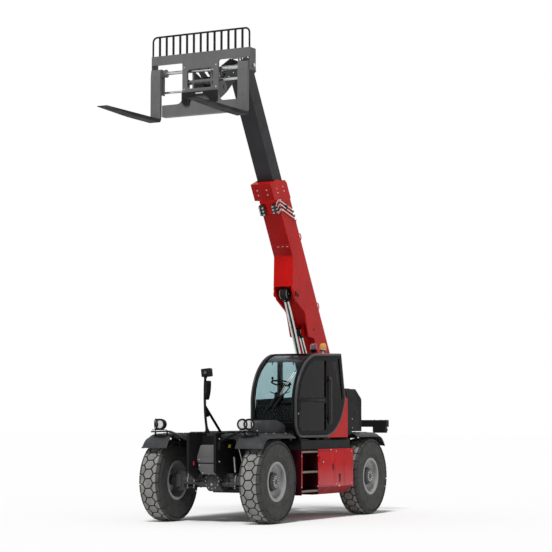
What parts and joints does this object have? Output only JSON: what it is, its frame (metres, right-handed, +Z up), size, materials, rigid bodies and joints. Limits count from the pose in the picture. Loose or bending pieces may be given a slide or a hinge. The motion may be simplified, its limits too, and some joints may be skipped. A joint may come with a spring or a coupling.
{
  "type": "telehandler",
  "caption": "Heavy telehandler with side cab, raised two-section boom on a lift cylinder, fork carriage with load guard, and four steered wheels.",
  "frame": {"origin": "on the ground under the middle of the whole machine's length and width", "axes": "+Z up, -Y forwards where the forks point, +X to the driver's left, the cab's side"},
  "size_m": [2.509, 7.71, 8.8299],
  "materials": {
    "red_paint": "gloss",
    "black_paint": "satin",
    "grey_paint": "satin",
    "dark_plastic": "matte",
    "rim_paint": "satin",
    "tyre_rubber": "matte",
    "chrome": "polished",
    "glass": "clear",
    "cushion": "woven",
    "cast": "cast",
    "lamp": "clear",
    "amber": "clear"
  },
  "bodies": {
    "chassis": {"chassis_frame": "black_paint", "front_deck": "dark_plastic", "cab_mounts": "black_paint", "front_axle": "cast", "rear_axle": "cast", "front_fenders": "dark_plastic", "rear_fenders": "dark_plastic", "cab_frame": "black_paint", "cab_glass": "glass", "operator_seat": "cushion", "steering_console": "dark_plastic", "side_panel": "red_paint", "rear_housing": "dark_plastic", "side_box": "red_paint", "access_steps": "red_paint", "engine_bay": "black_paint", "engine_block": "cast", "headlamps": "lamp", "mirror_mast": "black_paint", "rear_light_beam": "black_paint", "beacons": "amber"},
    "cab_door": {"cab_door": "black_paint", "door_glass": "glass"},
    "engine_hood": {"engine_hood": "red_paint"},
    "box_door": {"side_box_door": "red_paint"},
    "boom": {"outer_boom": "red_paint"},
    "telescope": {"inner_boom": "black_paint"},
    "carriage": {"carriage_frame": "grey_paint", "load_guard": "black_paint", "fork_shaft": "chrome"},
    "left_fork": {"fork_left": "grey_paint", "positioner_rod_left": "chrome"},
    "right_fork": {"fork_right": "grey_paint", "positioner_rod_right": "chrome"},
    "lift_barrel": {"lift_barrel": "black_paint"},
    "lift_rod": {"lift_rod": "chrome"},
    "compensation_barrel": {"compensation_barrel": "black_paint"},
    "compensation_rod": {"compensation_rod": "chrome"},
    "tilt_barrel": {"tilt_barrel": "black_paint"},
    "tilt_rod": {"tilt_rod": "chrome"},
    "front_left_knuckle": {"knuckle_front_left": "cast"},
    "front_left_wheel": {"wheel_rim_front_left": "rim_paint", "tyre_front_left": "tyre_rubber"},
    "front_right_knuckle": {"knuckle_front_right": "cast"},
    "front_right_wheel": {"wheel_rim_front_right": "rim_paint", "tyre_front_right": "tyre_rubber"},
    "rear_left_knuckle": {"knuckle_rear_left": "cast"},
    "rear_left_wheel": {"wheel_rim_rear_left": "rim_paint", "tyre_rear_left": "tyre_rubber"},
    "rear_right_knuckle": {"knuckle_rear_right": "cast"},
    "rear_right_wheel": {"wheel_rim_rear_right": "rim_paint", "tyre_rear_right": "tyre_rubber"}
  },
  "joints": [
    {"name": "boom_lift", "type": "hinge", "parent": "chassis", "child": "boom", "pos_m": [0, 3.161, 2.15], "axis": [-1, 0, 0], "range_deg": [-63.5, 8]},
    {"name": "boom_telescope", "type": "slide", "parent": "boom", "child": "telescope", "axis": [0, -0.5075, 0.8616], "range_m": [-2.2, 1.1]},
    {"name": "carriage_tilt", "type": "hinge", "parent": "telescope", "child": "carriage", "pos_m": [0, -1.49182, 7.8816], "axis": [1, 0, 0], "range_deg": [-75, 40]},
    {"name": "left_fork_slide", "type": "slide", "parent": "carriage", "child": "left_fork", "axis": [-1, 0, 0], "range_m": [0, 0.36]},
    {"name": "right_fork_slide", "type": "slide", "parent": "carriage", "child": "right_fork", "axis": [1, 0, 0], "range_m": [0, 0.36]},
    {"name": "lift_barrel_swing", "type": "hinge", "parent": "chassis", "child": "lift_barrel", "pos_m": [0, 2.775, 1.22], "axis": [-1, 0, 0], "range_deg": [-60.3, 7.6]},
    {"name": "lift_rod_slide", "type": "slide", "parent": "lift_barrel", "child": "lift_rod", "axis": [0, -0.4364, 0.8997], "range_m": [-1.058, 0.1333]},
    {"name": "compensation_barrel_swing", "type": "hinge", "parent": "chassis", "child": "compensation_barrel", "pos_m": [0, 3.075, 1.5], "axis": [-1, 0, 0], "range_deg": [-56.31, 7.09]},
    {"name": "compensation_rod_slide", "type": "slide", "parent": "compensation_barrel", "child": "compensation_rod", "axis": [0, -0.4893, 0.8721], "range_m": [-0.6366, 0.0802]},
    {"name": "tilt_barrel_swing", "type": "hinge", "parent": "telescope", "child": "tilt_barrel", "pos_m": [0, -0.62081, 8.38306], "axis": [1, 0, 0], "range_deg": [-3.17, 1.69]},
    {"name": "tilt_rod_slide", "type": "slide", "parent": "tilt_barrel", "child": "tilt_rod", "axis": [0, -0.9397, -0.3421], "range_m": [-0.2323, 0.1239]},
    {"name": "cab_door_hinge", "type": "hinge", "parent": "chassis", "child": "cab_door", "pos_m": [1.212, 0.712, 2.25], "axis": [0, 0, 1], "range_deg": [0, 95]},
    {"name": "engine_hood_hinge", "type": "hinge", "parent": "chassis", "child": "engine_hood", "pos_m": [-0.333, 0.625, 1.59], "axis": [0, 1, 0], "range_deg": [0, 60]},
    {"name": "box_door_hinge", "type": "hinge", "parent": "chassis", "child": "box_door", "pos_m": [1.252, 0.258, 0.92], "axis": [0, 0, -1], "range_deg": [0, 100]},
    {"name": "front_left_steer", "type": "hinge", "parent": "chassis", "child": "front_left_knuckle", "pos_m": [0.8, -1.35, 0.745], "axis": [0, 0, 1], "range_deg": [-30, 30]},
    {"name": "front_left_spin", "type": "hinge", "parent": "front_left_knuckle", "child": "front_left_wheel", "pos_m": [1.025, -1.35, 0.745], "axis": [1, 0, 0], "continuous": true},
    {"name": "front_right_steer", "type": "hinge", "parent": "chassis", "child": "front_right_knuckle", "pos_m": [-0.8, -1.35, 0.745], "axis": [0, 0, 1], "range_deg": [-30, 30]},
    {"name": "front_right_spin", "type": "hinge", "parent": "front_right_knuckle", "child": "front_right_wheel", "pos_m": [-1.025, -1.35, 0.745], "axis": [1, 0, 0], "continuous": true},
    {"name": "rear_left_steer", "type": "hinge", "parent": "chassis", "child": "rear_left_knuckle", "pos_m": [0.8, 2.6, 0.745], "axis": [0, 0, 1], "range_deg": [-30, 30]},
    {"name": "rear_left_spin", "type": "hinge", "parent": "rear_left_knuckle", "child": "rear_left_wheel", "pos_m": [1.025, 2.6, 0.745], "axis": [1, 0, 0], "continuous": true},
    {"name": "rear_right_steer", "type": "hinge", "parent": "chassis", "child": "rear_right_knuckle", "pos_m": [-0.8, 2.6, 0.745], "axis": [0, 0, 1], "range_deg": [-30, 30]},
    {"name": "rear_right_spin", "type": "hinge", "parent": "rear_right_knuckle", "child": "rear_right_wheel", "pos_m": [-1.025, 2.6, 0.745], "axis": [1, 0, 0], "continuous": true}
  ],
  "couplings": [
    {"joint": "lift_barrel_swing", "follows": "boom_lift", "ratio": 0.93101},
    {"joint": "lift_rod_slide", "follows": "boom_lift", "m_per_rad": 0.93589},
    {"joint": "compensation_barrel_swing", "follows": "boom_lift", "ratio": 0.86945},
    {"joint": "compensation_rod_slide", "follows": "boom_lift", "m_per_rad": 0.56313},
    {"joint": "tilt_barrel_swing", "follows": "carriage_tilt", "ratio": 0.04138},
    {"joint": "tilt_rod_slide", "follows": "carriage_tilt", "m_per_rad": 0.17397},
    {"joint": "front_right_steer", "follows": "front_left_steer", "ratio": 1},
    {"joint": "rear_right_steer", "follows": "rear_left_steer", "ratio": 1}
  ]
}
